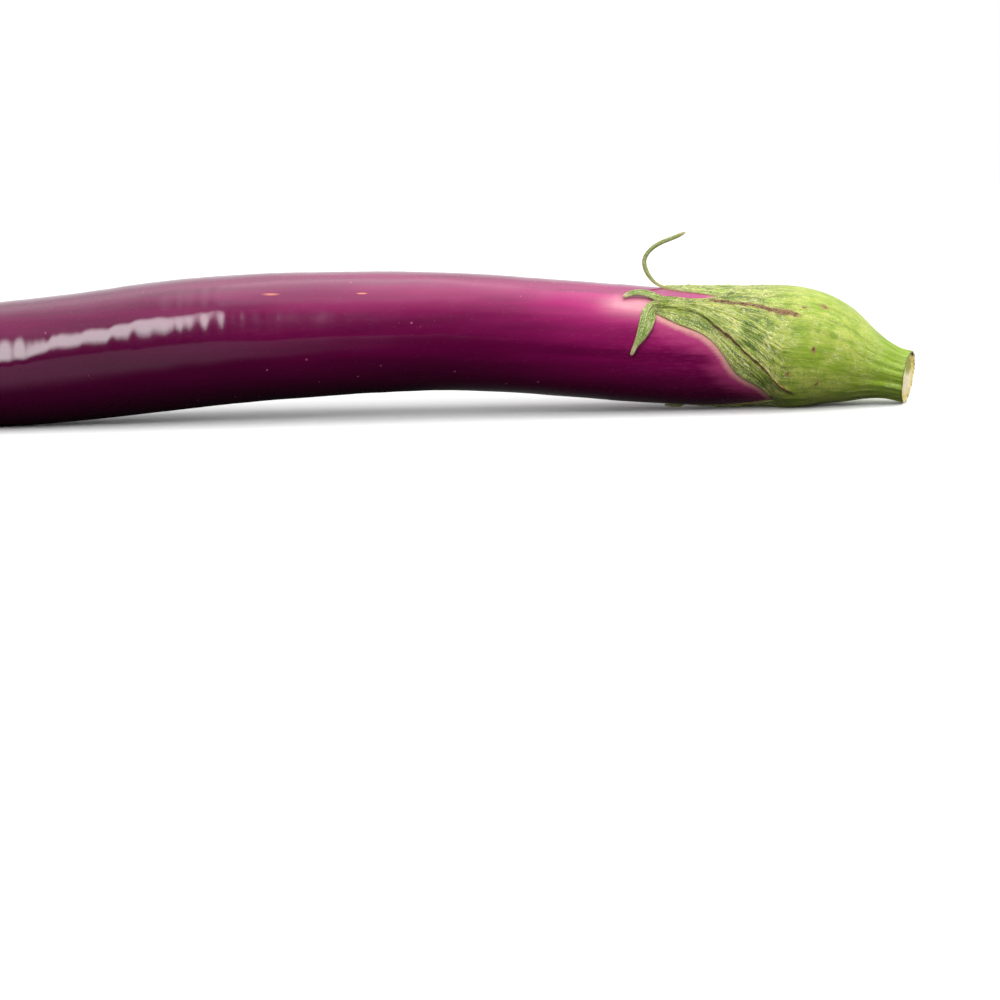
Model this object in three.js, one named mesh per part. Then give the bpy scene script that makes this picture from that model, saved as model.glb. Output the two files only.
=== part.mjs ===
// A long Chinese eggplant as picked, lying on its side on a flat surface.
// Millimetres, +Z up, +X from the blossom end to the cut stem. The origin is the middle of the
// underside: x = y = 0 is the middle of the object's box and z = 0 is the surface it lies on.
//
// Three pieces: the fruit, the calyx that caps it, with its five lobes and their dry tips, and
// the stem. Places on the calyx are given as (x, angle): the angle goes round the body's centre
// line, 0 faces -Y, 90 is the top and 180 faces +Y.

import * as THREE from 'three';
import { mergeVertices } from 'three/addons/utils/BufferGeometryUtils.js';

// ---- driving dimensions ----

const BLOSSOM_X = -160;       // blossom end of the fruit
const BLOSSOM_ROUND = 30;     // length of its rounded end
const RING_X = 119;           // where the calyx lobes leave the closed cup
const CUP_END_X = 146;        // where the cup passes into the stem
const STEM_END_X = 157.3;     // middle of the cut face
const GAP = 0.3;              // clearance between two pieces
const REST_SINK = 0.4;        // how far the resting places are pressed flat
const MERGE_TOLERANCE = 1e-3;
const SLOPE_STEP = 0.5;       // half the span over which the centre line's slope is taken

// Centre line: x, sideways shift, height.
const CENTRE_LINE = [
  [-190, 0.0, 15.6], [-160, 0.0, 17.2], [-125, 0.0, 18.9], [-100, 0.3, 20.3], [-70, 0.6, 23.1],
  [-40, 0.8, 25.2], [-10, 0.9, 25.8], [20, 0.8, 25.6], [50, 0.5, 23.1], [80, 0.2, 20.0],
  [100, 0.0, 18.6], [115, 0.0, 18.4], [124, 0.0, 17.9], [132, -0.1, 16.4], [140, -0.4, 13.7],
  [148, -0.9, 11.1], [157, -1.7, 8.5], [170, -3.0, 5.5],
];

// Outer radius of the body along x: the fruit's skin, then the calyx, then the stem.
const BODY_RADIUS = [
  [-190, 18.6], [-160, 18.8], [-125, 19.0], [-100, 19.3], [-70, 19.6], [-40, 19.3], [-10, 18.6],
  [20, 17.7], [50, 17.5], [80, 17.6], [100, 18.2], [115, 18.1], [124, 18.1], [132, 16.6],
  [140, 13.3], [148, 9.2], [153, 7.7], [157, 7.4], [170, 7.6],
];

// Radius of the fruit where the calyx covers it, down to its hidden end inside the cup.
const SHOULDER_START_X = 70;
const SHOULDER_RADIUS = [
  [50, 17.5], [70, 17.5], [85, 17.3], [100, 17.2], [112, 16.8], [120, 16.3], [127, 15.0],
  [133, 12.4], [138, 7.8], [140.5, 3.4], [142, 0],
];
const FRUIT_END_X = 141.5;

// The five lobes, in order round the body. ringFrom and ringTo are the angles where the lobe
// leaves the cup. low and high are its two borders from the notch beside it to the tip's root,
// rib is its middle line. lowShared and highShared say how many of its rows run along a border
// that it shares with its neighbour, out of LOBE_ROWS. The first two lobes share SEAM from end
// to end. tip is the free end beyond the lobe: x, angle, height over the fruit, half the width.
const LOBE_ROWS = 10;
const SEAM = [[RING_X, 5], [112, 20], [106, 32], [96, 46], [90, 50], [83.5, 50]];
const LOBES = [
  {
    ringFrom: -66, ringTo: 5, lowShared: 1, highShared: LOBE_ROWS,
    low: [[117, -66], [113.4, -42.5], [105.6, -20], [102.5, -4], [96.6, 17], [89, 27], [82, 37]],
    rib: [[RING_X, -33], [111, -6], [102, 20], [96, 34.5], [90, 42], [82.7, 43.5]],
    high: SEAM,
    tip: [[80.4, 40, 1.3, 2.1], [79.5, 31, 1.5, 2.2], [78.9, 22, 1.6, 2.0], [77.9, 13, 1.7, 1.4],
      [76.6, 5, 1.8, 0.7], [75.4, -5, 2.0, 0.3]],
  },
  {
    ringFrom: 5, ringTo: 66, lowShared: LOBE_ROWS, highShared: 5,
    low: SEAM,
    rib: [[RING_X, 40], [108, 50], [96, 56], [90, 57.5], [83, 57.5]],
    high: [[100.5, 65], [95, 61], [89, 61.5], [83, 63]],
    tip: [[80, 59, 1.2, 1.4], [77.4, 60.5, 1.4, 1.2], [75, 59.5, 1.4, 1.0], [73, 56.5, 1.2, 0.8],
      [71.6, 53, 1.0, 0.3]],
  },
  {
    ringFrom: 66, ringTo: 142, lowShared: 5, highShared: 4,
    low: [[100.5, 65], [94, 72], [89, 76], [85.5, 80], [83.5, 84.6]],
    rib: [[RING_X, 104], [108, 101], [96, 95], [88, 89], [83.5, 87]],
    high: [[103, 142], [97, 126], [91, 110], [86, 97], [83.5, 89.4]],
    tip: [[81.2, 88, 1.3, 0.8], [78.6, 89, 3.4, 0.7], [77.1, 90, 6.6, 0.7], [77.7, 91, 9.6, 0.7],
      [80.6, 92, 12.5, 0.7], [84.6, 93, 14.6, 0.7], [89.6, 93, 17.0, 0.3]],
  },
  {
    ringFrom: 142, ringTo: 218, lowShared: 4, highShared: 2,
    low: [[103, 142], [98, 152], [92, 164], [87, 171], [84, 174]],
    rib: [[RING_X, 180], [108, 180], [96, 178], [84, 176.5]],
    high: [[112, 218], [106, 207], [98, 194], [90, 183], [84, 179]],
    tip: [[81.5, 176, 1.5, 0.8], [79, 174, 2.2, 0.8], [77, 170, 3.0, 0.6], [76, 165, 3.6, 0.3]],
  },
  {
    ringFrom: 218, ringTo: 294, lowShared: 2, highShared: 1,
    low: [[112, 218], [108, 230], [102, 246], [96, 257], [92, 261.5]],
    rib: [[RING_X, 263], [108, 263], [98, 264], [92, 264]],
    high: [[117, 294], [112, 285], [104, 275], [97, 269], [92, 266.5]],
    tip: [[90, 264, 1.0, 0.6], [88, 264, 1.0, 0.5], [86, 264.5, 0.9, 0.3]],
  },
];
const TIP_THICKNESS = 0.9;    // of a free tip at its root
const TIP_ROWS = 9;

const FRUIT_SIDES = 32;
const FRUIT_STEPS = 44;
const EVEN_SHARE = 0.7;       // how far the fruit's rings crowd towards its ends
const LOBE_COLUMNS = [0, 0.08, 0.22, 0.36, 0.5, 0.64, 0.78, 0.92, 1];
const CUP_STEPS = 7;
const HOLLOW_STEPS = 12;
const STEM_SIDES = 30;
const STEM_STEPS = 5;
const STEM_RIDGES = 5;
const STEM_RIDGE_HEIGHT = 0.3;
const CUT_TURN = 10;          // the cut face is turned this far towards -Y, in degrees
const CUT_LEAN = 9;           // and this far downwards

// ---- the body's centre line and radius ----

function alongX(table, column) {
  const places = table.map((row) => row[0]);
  const values = table.map((row) => row[column]);
  const interpolant = new THREE.CubicInterpolant(places, values, 1);
  return (x) => interpolant.evaluate(x)[0];
}

const centreY = alongX(CENTRE_LINE, 1);
const centreZ = alongX(CENTRE_LINE, 2);
const bodyRadius = alongX(BODY_RADIUS, 1);
const shoulderRadius = alongX(SHOULDER_RADIUS, 1);

// Radius of the fruit: a rounded blossom end, the open body, then the shoulder in the calyx.
function fruitRadius(x) {
  const roundStart = BLOSSOM_X + BLOSSOM_ROUND;
  if (x < roundStart) {
    const reach = Math.min((roundStart - x) / BLOSSOM_ROUND, 1);
    return bodyRadius(x) * Math.sqrt(1 - reach * reach);
  }
  if (x < SHOULDER_START_X) return bodyRadius(x);
  return Math.max(shoulderRadius(x), 0);
}

function centre(x) {
  return new THREE.Vector3(x, centreY(x), centreZ(x) - REST_SINK);
}

// Unit vectors square to the centre line at x: side faces -Y, up faces +Z.
function sectionAxes(x) {
  const along = centre(x + SLOPE_STEP).sub(centre(x - SLOPE_STEP)).normalize();
  const side = new THREE.Vector3(0, -1, 0).addScaledVector(along, along.y).normalize();
  const up = new THREE.Vector3().crossVectors(side, along).normalize();
  if (up.z < 0) up.negate();
  return { side, up };
}

function outward(x, degrees) {
  const angle = THREE.MathUtils.degToRad(degrees);
  const { side, up } = sectionAxes(x);
  return side.multiplyScalar(Math.cos(angle)).addScaledVector(up, Math.sin(angle));
}

function bodyPoint(x, degrees, radius) {
  return centre(x).addScaledVector(outward(x, degrees), radius);
}

// ---- building closed meshes from rows of points ----

class Solid {
  constructor() {
    this.positions = [];
  }

  triangle(a, b, c) {
    this.positions.push(...a.toArray(), ...b.toArray(), ...c.toArray());
  }

  quad(a, b, c, d) {
    this.triangle(a, b, c);
    this.triangle(a, c, d);
  }

  // Joins two rows of points that have the same length.
  band(rowA, rowB) {
    for (let i = 0; i + 1 < rowA.length; i += 1) {
      this.quad(rowA[i], rowA[i + 1], rowB[i + 1], rowB[i]);
    }
  }

  bands(rows) {
    for (let i = 0; i + 1 < rows.length; i += 1) this.band(rows[i], rows[i + 1]);
  }

  // Closes a row of points with a fan to one point.
  fan(row, point) {
    for (let i = 0; i + 1 < row.length; i += 1) this.triangle(row[i], row[i + 1], point);
  }

  geometry() {
    const raw = new THREE.BufferGeometry();
    raw.setAttribute('position', new THREE.Float32BufferAttribute(this.positions, 3));
    pressFlat(raw);
    const merged = mergeVertices(raw, MERGE_TOLERANCE);
    dropEmptyTriangles(merged);
    merged.computeVertexNormals();
    return merged;
  }
}

// What would reach below the surface that the object lies on is pressed flat against it.
function pressFlat(geometry) {
  const position = geometry.getAttribute('position');
  for (let i = 0; i < position.count; i += 1) {
    if (position.getZ(i) < 0) position.setZ(i, 0);
  }
}

function dropEmptyTriangles(geometry) {
  const index = geometry.getIndex().array;
  const kept = [];
  for (let i = 0; i < index.length; i += 3) {
    const [a, b, c] = [index[i], index[i + 1], index[i + 2]];
    if (a !== b && b !== c && c !== a) kept.push(a, b, c);
  }
  geometry.setIndex(kept);
}

function steps(count, from, to) {
  return Array.from({ length: count + 1 }, (_, i) => from + ((to - from) * i) / count);
}

// ---- fruit ----

// A lathed body, laid along X and bent to the centre line.
function fruitGeometry() {
  const middle = (BLOSSOM_X + FRUIT_END_X) / 2;
  const halfLength = (FRUIT_END_X - BLOSSOM_X) / 2;
  const profile = steps(FRUIT_STEPS, 0, Math.PI).map((angle) => {
    const even = -Math.cos(angle);
    const plain = (2 * angle) / Math.PI - 1;
    const x = middle + halfLength * (EVEN_SHARE * even + (1 - EVEN_SHARE) * plain);
    return new THREE.Vector2(fruitRadius(x), x);
  });
  profile[0].x = 0;
  profile[FRUIT_STEPS].x = 0;
  const lathe = new THREE.LatheGeometry(profile, FRUIT_SIDES, Math.PI / 2);
  lathe.deleteAttribute('normal');
  lathe.deleteAttribute('uv');
  const position = lathe.getAttribute('position');
  for (let i = 0; i < position.count; i += 1) {
    const x = position.getY(i);
    const { side, up } = sectionAxes(x);
    const bent = centre(x);
    bent.addScaledVector(up, position.getX(i));
    bent.addScaledVector(side, -position.getZ(i));
    position.setXYZ(i, bent.x, bent.y, bent.z);
  }
  pressFlat(lathe);
  const merged = mergeVertices(lathe, MERGE_TOLERANCE);
  dropEmptyTriangles(merged);
  merged.computeVertexNormals();
  return merged;
}

// ---- calyx ----

// A smooth line through (x, angle) places, read by its share of the length.
function guide(places) {
  const curve = new THREE.SplineCurve(places.map(([x, degrees]) => new THREE.Vector2(x, degrees)));
  return (share) => curve.getPointAt(share);
}

// One border of a lobe as rows: along the shared line to the notch, then along its own line.
function borderRows(ringAngle, shared, own) {
  if (own === SEAM) return steps(LOBE_ROWS, 0, 1).map(guide(SEAM));
  const ringPlace = new THREE.Vector2(RING_X, ringAngle);
  const notch = new THREE.Vector2(...own[0]);
  const line = guide(own);
  return steps(LOBE_ROWS, 0, LOBE_ROWS).map((row) => {
    if (row <= shared) return ringPlace.clone().lerp(notch, row / shared);
    return line((row - shared) / (LOBE_ROWS - shared));
  });
}

// Thickness of the calyx over the fruit at x.
function calyxThickness(x) {
  return bodyRadius(x) - fruitRadius(x) - GAP;
}

// The outer and inner skins of a lobe, as rows from the cup to the root of its tip.
function lobeRows(lobe) {
  const low = borderRows(lobe.ringFrom, lobe.lowShared, lobe.low);
  const high = borderRows(lobe.ringTo, lobe.highShared, lobe.high);
  const rib = steps(LOBE_ROWS, 0, 1).map(guide(lobe.rib));
  const outer = [];
  const inner = [];
  for (let row = 0; row <= LOBE_ROWS; row += 1) {
    const outerRow = [];
    const innerRow = [];
    for (const u of LOBE_COLUMNS) {
      const place = u < 0.5
        ? low[row].clone().lerp(rib[row], u * 2)
        : rib[row].clone().lerp(high[row], u * 2 - 1);
      const onLowEdge = u === 0 && row >= lobe.lowShared;
      const onHighEdge = u === 1 && row >= lobe.highShared;
      const thickness = onLowEdge || onHighEdge ? 0 : calyxThickness(place.x);
      const floor = fruitRadius(place.x) + GAP;
      innerRow.push(bodyPoint(place.x, place.y, floor));
      outerRow.push(bodyPoint(place.x, place.y, floor + thickness));
    }
    outer.push(outerRow);
    inner.push(innerRow);
  }
  return { outer, inner };
}

// The free tip beyond a lobe: rows of the same columns that follow the tip's own line.
function tipRows(lobe, root) {
  const middleColumn = (LOBE_COLUMNS.length - 1) / 2;
  const rootPoint = root.outer[middleColumn].clone().lerp(root.inner[middleColumn], 0.5);
  const points = [rootPoint];
  for (const [x, degrees, height] of lobe.tip) {
    points.push(bodyPoint(x, degrees, fruitRadius(x) + height));
  }
  const rootWidth = root.outer[0].distanceTo(root.outer[LOBE_COLUMNS.length - 1]) / 2;
  const widths = [rootWidth, ...lobe.tip.map((place) => place[3])];
  const curve = new THREE.CatmullRomCurve3(points, false, 'centripetal');
  let normal = outward(lobe.rib[lobe.rib.length - 1][0], lobe.rib[lobe.rib.length - 1][1]);
  const outer = [];
  const inner = [];
  for (let row = 1; row <= TIP_ROWS; row += 1) {
    const share = row / TIP_ROWS;
    const point = curve.getPoint(share);
    const along = curve.getTangent(share);
    normal = normal.clone().addScaledVector(along, -normal.dot(along)).normalize();
    const across = new THREE.Vector3().crossVectors(along, normal).normalize();
    if (row === 1) orient(across, root);
    const place = share * (widths.length - 1);
    const before = Math.min(Math.floor(place), widths.length - 2);
    const halfWidth = THREE.MathUtils.lerp(widths[before], widths[before + 1], place - before);
    const thickness = row === TIP_ROWS ? 0 : TIP_THICKNESS;
    outer.push(tipSection(point, across, normal, halfWidth, thickness / 2, row));
    inner.push(tipSection(point, across, normal, halfWidth, -thickness / 2, row));
  }
  return { outer, inner };
}

function tipSection(point, across, normal, halfWidth, lift, row) {
  return LOBE_COLUMNS.map((u) => {
    const sideways = row === TIP_ROWS ? 0 : (2 * u - 1) * halfWidth;
    const isEdge = u === 0 || u === 1;
    return point.clone().addScaledVector(across, sideways).addScaledVector(normal, isEdge ? 0 : lift);
  });
}

function orient(across, root) {
  const rootAcross = root.outer[LOBE_COLUMNS.length - 1].clone().sub(root.outer[0]);
  if (across.dot(rootAcross) < 0) across.negate();
}

function calyxGeometry() {
  const solid = new Solid();
  const ringAngles = [];
  for (const lobe of LOBES) {
    const body = lobeRows(lobe);
    const last = { outer: body.outer[LOBE_ROWS], inner: body.inner[LOBE_ROWS] };
    const tip = tipRows(lobe, last);
    solid.bands([...body.outer, ...tip.outer]);
    solid.bands([...body.inner, ...tip.inner].map((row) => row.slice().reverse()));
    const middle = guide(lobe.rib)(0).y;
    for (const u of LOBE_COLUMNS) {
      ringAngles.push(u < 0.5
        ? THREE.MathUtils.lerp(lobe.ringFrom, middle, u * 2)
        : THREE.MathUtils.lerp(middle, lobe.ringTo, u * 2 - 1));
    }
  }
  addCup(solid, ringAngles);
  return solid.geometry();
}

// The closed cup from the ring to the stem: an outer skin, a flat end and the hollow inside.
function addCup(solid, ringAngles) {
  const ringAt = (x, radius) => ringAngles.map((degrees) => bodyPoint(x, degrees, radius));
  const outerRows = steps(CUP_STEPS, CUP_END_X, RING_X).map((x) => ringAt(x, bodyRadius(x)));
  solid.bands(outerRows);
  solid.fan(outerRows[0].slice().reverse(), centre(CUP_END_X));
  const hollowEnd = FRUIT_END_X + GAP;
  const innerRows = steps(HOLLOW_STEPS, RING_X, hollowEnd)
    .slice(0, HOLLOW_STEPS)
    .map((x) => ringAt(x, fruitRadius(x) + GAP));
  solid.bands(innerRows);
  solid.fan(innerRows[HOLLOW_STEPS - 1], centre(hollowEnd));
}

// ---- stem ----

function stemPoint(x, degrees) {
  const ridges = Math.cos(THREE.MathUtils.degToRad(degrees * STEM_RIDGES));
  return bodyPoint(x, degrees, bodyRadius(x) + STEM_RIDGE_HEIGHT * ridges * stemShare(x));
}

function stemShare(x) {
  return THREE.MathUtils.smoothstep(x, CUP_END_X, STEM_END_X);
}

// How far the leaning cut face lies beyond its middle, for a point of the section.
function cutOffset(degrees, radius) {
  const angle = THREE.MathUtils.degToRad(degrees);
  const turn = Math.tan(THREE.MathUtils.degToRad(CUT_TURN));
  const lean = Math.tan(THREE.MathUtils.degToRad(CUT_LEAN));
  return radius * (-turn * Math.cos(angle) + lean * Math.sin(angle));
}

function stemGeometry() {
  const solid = new Solid();
  const start = CUP_END_X + GAP;
  const angles = steps(STEM_SIDES, 0, 360);
  const rows = steps(STEM_STEPS, 0, 1).map((share) => angles.map((degrees) => {
    const end = STEM_END_X + cutOffset(degrees, bodyRadius(STEM_END_X));
    return stemPoint(THREE.MathUtils.lerp(start, end, share), degrees);
  }));
  solid.bands(rows.map((row) => row.slice().reverse()));
  solid.fan(rows[0], centre(start));
  solid.fan(rows[STEM_STEPS].slice().reverse(), centre(STEM_END_X));
  return solid.geometry();
}

// ---- the object ----

function piece(name, geometry, colour, roughness) {
  const material = new THREE.MeshStandardMaterial({ color: colour, roughness, metalness: 0 });
  const mesh = new THREE.Mesh(geometry, material);
  mesh.name = name;
  return mesh;
}

const eggplant = new THREE.Group();
eggplant.add(piece('fruit', fruitGeometry(), 0x6d0f42, 0.25));
eggplant.add(piece('calyx', calyxGeometry(), 0x96a53f, 0.6));
eggplant.add(piece('stem', stemGeometry(), 0x93ab4c, 0.6));

export default eggplant;
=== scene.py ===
import itertools
import math

import bmesh
import bpy
import numpy as np
from mathutils import Matrix, Vector


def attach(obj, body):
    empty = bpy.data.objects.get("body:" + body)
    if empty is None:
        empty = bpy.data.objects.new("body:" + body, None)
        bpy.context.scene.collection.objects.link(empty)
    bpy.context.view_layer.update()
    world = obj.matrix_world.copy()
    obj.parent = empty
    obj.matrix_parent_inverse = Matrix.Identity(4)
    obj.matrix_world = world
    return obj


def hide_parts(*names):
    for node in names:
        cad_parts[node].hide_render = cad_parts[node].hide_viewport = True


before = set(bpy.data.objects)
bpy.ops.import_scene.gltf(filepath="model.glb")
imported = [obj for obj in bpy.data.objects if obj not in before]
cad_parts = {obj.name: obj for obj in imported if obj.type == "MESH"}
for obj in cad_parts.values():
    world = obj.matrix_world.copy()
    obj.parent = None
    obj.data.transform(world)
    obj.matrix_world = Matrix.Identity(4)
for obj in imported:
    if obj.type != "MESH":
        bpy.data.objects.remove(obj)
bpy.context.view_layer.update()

# A long Chinese eggplant, picked, lying on a white table. Lengths here are millimetres, and
# MM turns them into the metres of the frame. +X runs from the blossom end to the cut stem.
# Places on the body are (x, angle): the angle goes round the centre line, 0 faces -Y, 90 is
# the top and 180 faces +Y.

MM = 0.001
DEGREE_MM = 0.316             # length of one degree of arc on the calyx

# ---- driving dimensions, the same as the CAD model's but for the turn of the cut face ----

BLOSSOM_X = -160.0
BLOSSOM_ROUND = 30.0
RING_X = 119.0
CUP_END_X = 146.0
STEM_END_X = 157.3
REST_SINK = 0.4
FRUIT_END_X = 141.5
CUT_TURN = 18.0               # degrees that the cut face is turned towards -Y: the CAD's is 10
CUT_LEAN = 9.0                # and this far downwards

# Not chosen by hand: from x = -125 to 157 the heights and radii in the next two tables are the
# results of a least-squares fit by another program, rounded to 0.1 mm, about a third of them
# corrected by up to 0.3 mm. The first three lobes' borders, ribs and tips, the calyx's marks and
# RIDGE_PATH began as other programs' results, and were moved by hand after that.
CENTRE_LINE = np.array([
    (-190, 0.0, 15.6), (-160, 0.0, 17.2), (-125, 0.0, 18.9), (-100, 0.3, 20.3),
    (-70, 0.6, 23.1), (-40, 0.8, 25.2), (-10, 0.9, 25.8), (20, 0.8, 25.6), (50, 0.5, 23.1),
    (80, 0.2, 20.0), (100, 0.0, 18.6), (115, 0.0, 18.4), (124, 0.0, 17.9), (132, -0.1, 16.4),
    (140, -0.4, 13.7), (148, -0.9, 11.1), (157, -1.7, 8.5), (170, -3.0, 5.5),
])
BODY_RADIUS = np.array([
    (-190, 18.6), (-160, 18.8), (-125, 19.0), (-100, 19.3), (-70, 19.6), (-40, 19.3),
    (-10, 18.6), (20, 17.7), (50, 17.5), (80, 17.6), (100, 18.2), (115, 18.1), (124, 18.1),
    (132, 16.6), (140, 13.3), (148, 9.2), (153, 7.7), (157, 7.4), (170, 7.6),
])
SHOULDER_START_X = 70.0
SHOULDER_RADIUS = np.array([
    (50, 17.5), (70, 17.5), (85, 17.3), (100, 17.2), (112, 16.8), (120, 16.3), (127, 15.0),
    (133, 12.4), (138, 7.8), (140.5, 3.4), (142, 0),
])

# The five lobes of the calyx. low and high are a lobe's two borders from the notch beside it
# to the root of its tip, and rib is its middle line. low_shared and high_shared are the share
# of its length that runs along a border with its neighbour. tip is the free end: x, angle,
# height over the fruit and half the width. keel is the height of its rib, step how far the
# side of the high border stands over the other, and tear how brown and torn the rib is: over
# the length torn along it, ragged wide. dry is the brown share of the tip, thick its thickness.
SEAM = [(RING_X, 5), (112, 20), (106, 32), (96, 46), (90, 50), (83.5, 50)]
LOBES = [
    dict(ring=(-66, 5), low_shared=0.1, high_shared=1.0,
         keel=0.35, step=0.45, tear=1.0, torn=(21, 36), ragged=0.75, dry=0.3, thick=0.9,
         low=[(117, -66), (113.4, -42.5), (105.6, -20), (102.5, -4), (96.6, 17), (89, 27), (82, 37)],
         rib=[(RING_X, -33), (111, -6), (102, 20), (96, 34.5), (90, 42), (82.7, 43.5)],
         high=SEAM,
         tip=[(81.0, 42.0, 1.2, 2.1), (80.0, 38.0, 1.3, 2.2), (79.5, 31, 1.5, 2.3),
              (78.9, 22, 1.6, 2.1), (77.9, 13, 1.7, 1.5), (76.6, 5, 1.8, 0.75), (75.4, -5, 2.0, 0.45)]),
    dict(ring=(5, 66), low_shared=1.0, high_shared=0.5,
         keel=0.55, step=0.0, tear=1.0, torn=(19, 25), ragged=0.85, dry=0.25, thick=0.9,
         low=SEAM,
         rib=[(RING_X, 40), (108, 50), (96, 56), (90, 57.5), (83, 57.5)],
         high=[(100.5, 65), (95, 61), (89, 61.5), (83, 63)],
         tip=[(80, 59, 1.0, 1.6), (77.4, 60.5, 1.2, 1.4), (75, 59.5, 1.2, 1.2), (73, 56.5, 1.0, 1.0),
              (71.6, 53, 0.8, 0.5)]),
    dict(ring=(66, 142), low_shared=0.5, high_shared=0.4,
         keel=0.35, step=0.0, tear=0.2, torn=(4, 20), ragged=0.4, dry=0.12, thick=1.35,
         low=[(100.5, 65), (94, 72), (89, 76), (85.5, 80), (83.5, 84.6)],
         rib=[(RING_X, 104), (108, 101), (96, 95), (88, 89), (83.5, 87)],
         high=[(103, 142), (97, 126), (91, 110), (86, 97), (83.5, 89.4)],
         tip=[(81.2, 88, 1.1, 0.95), (79.2, 89, 2.8, 0.85), (77.6, 90, 5.2, 0.8),
              (77.1, 90, 7.8, 0.78), (78.2, 91, 10.3, 0.75), (80.6, 92, 12.5, 0.75),
              (83.8, 93, 14.2, 0.75), (87.0, 93, 15.6, 0.7), (89.6, 93, 17.0, 0.45)]),
    dict(ring=(142, 218), low_shared=0.4, high_shared=0.2,
         keel=0.45, step=0.0, tear=0.6, torn=(8, 24), ragged=0.4, dry=0.3, thick=0.9,
         low=[(103, 142), (98, 152), (92, 164), (87, 171), (84, 174)],
         rib=[(RING_X, 180), (108, 180), (96, 178), (84, 176.5)],
         high=[(112, 218), (106, 207), (98, 194), (90, 183), (84, 179)],
         tip=[(81.5, 176, 1.5, 0.8), (79, 174, 2.2, 0.8), (77, 170, 3.0, 0.6), (76, 165, 3.6, 0.3)]),
    dict(ring=(218, 294), low_shared=0.2, high_shared=0.1,
         keel=0.1, step=0.0, tear=0.3, torn=(4, 20), ragged=0.4, dry=0.5, thick=0.9,
         low=[(112, 218), (108, 230), (102, 246), (96, 257), (92, 261.5)],
         rib=[(RING_X, 263), (108, 263), (98, 264), (92, 264)],
         high=[(117, 294), (112, 285), (104, 275), (97, 269), (92, 266.5)],
         tip=[(90, 264, 1.0, 0.6), (88, 264, 1.0, 0.5), (86, 264.5, 0.9, 0.3)]),
]

HAIR_TURNS = [35.0, -25.0, 70.0]   # ways in which the calyx's pale hairs lie, in degrees

# ---- fineness of the meshes ----

FRUIT_ROWS = 430
FRUIT_SIDES = 200
LOBE_ROWS = 90
LOBE_COLUMNS = 56
TIP_ROWS = 30
CUP_ROWS = 60
HOLLOW_ROWS = 24
STEM_ROWS = 34
CUT_ROWS = 18
CROWDING = 0.72               # how far a lobe's columns crowd to its rib and borders

EDGE_THICKNESS = 0.35         # of the calyx at a free border
EDGE_ROUND = 0.3
EDGE_REACH = 5.0              # from the border to its full thickness
SUNK = 0.08                   # the calyx's inner side lies this far inside the skin
TIP_BLEND = 0.3               # share of a tip's length over which the lobe's section fades
TIP_CURL = 0.12
TIP_SLENDER = 1.7             # a tip is at most this much thicker than half its width
RIB_RUN = 4.5                 # how far a rib keeps its direction inside the cup
EDGE_LIFT = 0.15              # how far the lobes' ends stand off the skin
CUT_FLARE = 0.25
CUT_PIT = (-0.1, 0.42)        # the pit's place on the cut, as shares of its radius
WELD_MM = 0.0015
SHARP_DEGREES = 62
NEAR_CALYX_X = 45.0
# A blunt ridge along the front of the blossom half: x and angle of its crest.
RIDGE_PATH = np.array([(-160, 0), (-125, 1), (-112, 5), (-103, 10), (-95, 18), (-87, 23), (-81, 24.5),
                       (-66, 30), (-40, 33)])
RIDGE_HEIGHT = 1.2
RIDGE_WIDTH = 7.0
RIDGE_ROUND = 2.8
RIDGE_WANDER = 2.0
FAR_FROM_CALYX = 60.0

# Marks on the skins: x, angle, length and width.
SCRATCHES = [(-31, 46, 4.0, 0.32), (-4, 45.5, 2.0, 0.28)]
# Places where the skin is pale by the lobes' ends.
BLUSHES = [(81, 50, 4.5, 4.0), (73, 47, 7.0, 3.5)]
CALYX_MARKS = [(129.2, 54, 1.5, 1.3), (128.2, 5, 0.9, 1.6), (131.6, -29.5, 1.0, 1.8),
               (121.2, -19.5, 1.4, 1.2), (116.6, -61, 0.8, 1.6), (124.5, 47, 1.2, 0.8)]
# Painted shade: how bright the skin's colour is by the height of its place round the body, -1 the bottom, 1
# the top.
PAINTED_SHADE = np.array([(-1, 0.12), (-0.64, 0.18), (-0.34, 0.28), (0, 0.38), (0.34, 0.55), (0.66, 0.95),
                  (1, 1)])

# ---- colours, linear ----

BODY_DARK = (0.15, 0.0003, 0.056)
BODY_LIGHT = (0.27, 0.0006, 0.095)
BRIGHT = (0.55, 0.006, 0.20)
DEEP_PURPLE = (0.03, 0.0002, 0.013)
ROSE = (0.44, 0.045, 0.175)
PINK = (0.62, 0.16, 0.30)
PALE_PINK = (0.70, 0.33, 0.30)
BLUSH_PINK = (0.85, 0.42, 0.46)
SCRATCH_ORANGE = (0.75, 0.25, 0.15)
DRY_BROWN = (0.16, 0.09, 0.05)
DOME_GREEN = (0.27, 0.40, 0.03)
DOME_YELLOW = (0.44, 0.52, 0.07)
LEAF_GREEN = (0.15, 0.24, 0.018)
LEAF_YELLOW = (0.46, 0.48, 0.05)
LEAF_FRESH = (0.17, 0.40, 0.008)
TIP_GREEN = (0.12, 0.27, 0.012)
STEM_GREEN = (0.26, 0.40, 0.025)
DEEP_GREEN = (0.035, 0.075, 0.008)
FIBRE_PALE = (0.60, 0.62, 0.15)
HAIR_PALE = (0.82, 0.84, 0.48)
EDGE_PALE = (0.36, 0.30, 0.12)
TEAR_DARK = (0.035, 0.02, 0.008)
TEAR_BROWN = (0.38, 0.22, 0.09)
RIM_DARK = (0.06, 0.04, 0.015)
CUT_CREAM = (0.92, 0.78, 0.44)
CUT_PALE = (1.0, 0.93, 0.70)
CUT_YELLOW = (0.85, 0.66, 0.16)
CUT_GREEN = (0.42, 0.42, 0.10)
BURNT = (0.02, 0.015, 0.01)

# ---- light and camera ----

FLOOR_WHITE = (0.97, 0.97, 0.97)
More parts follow.
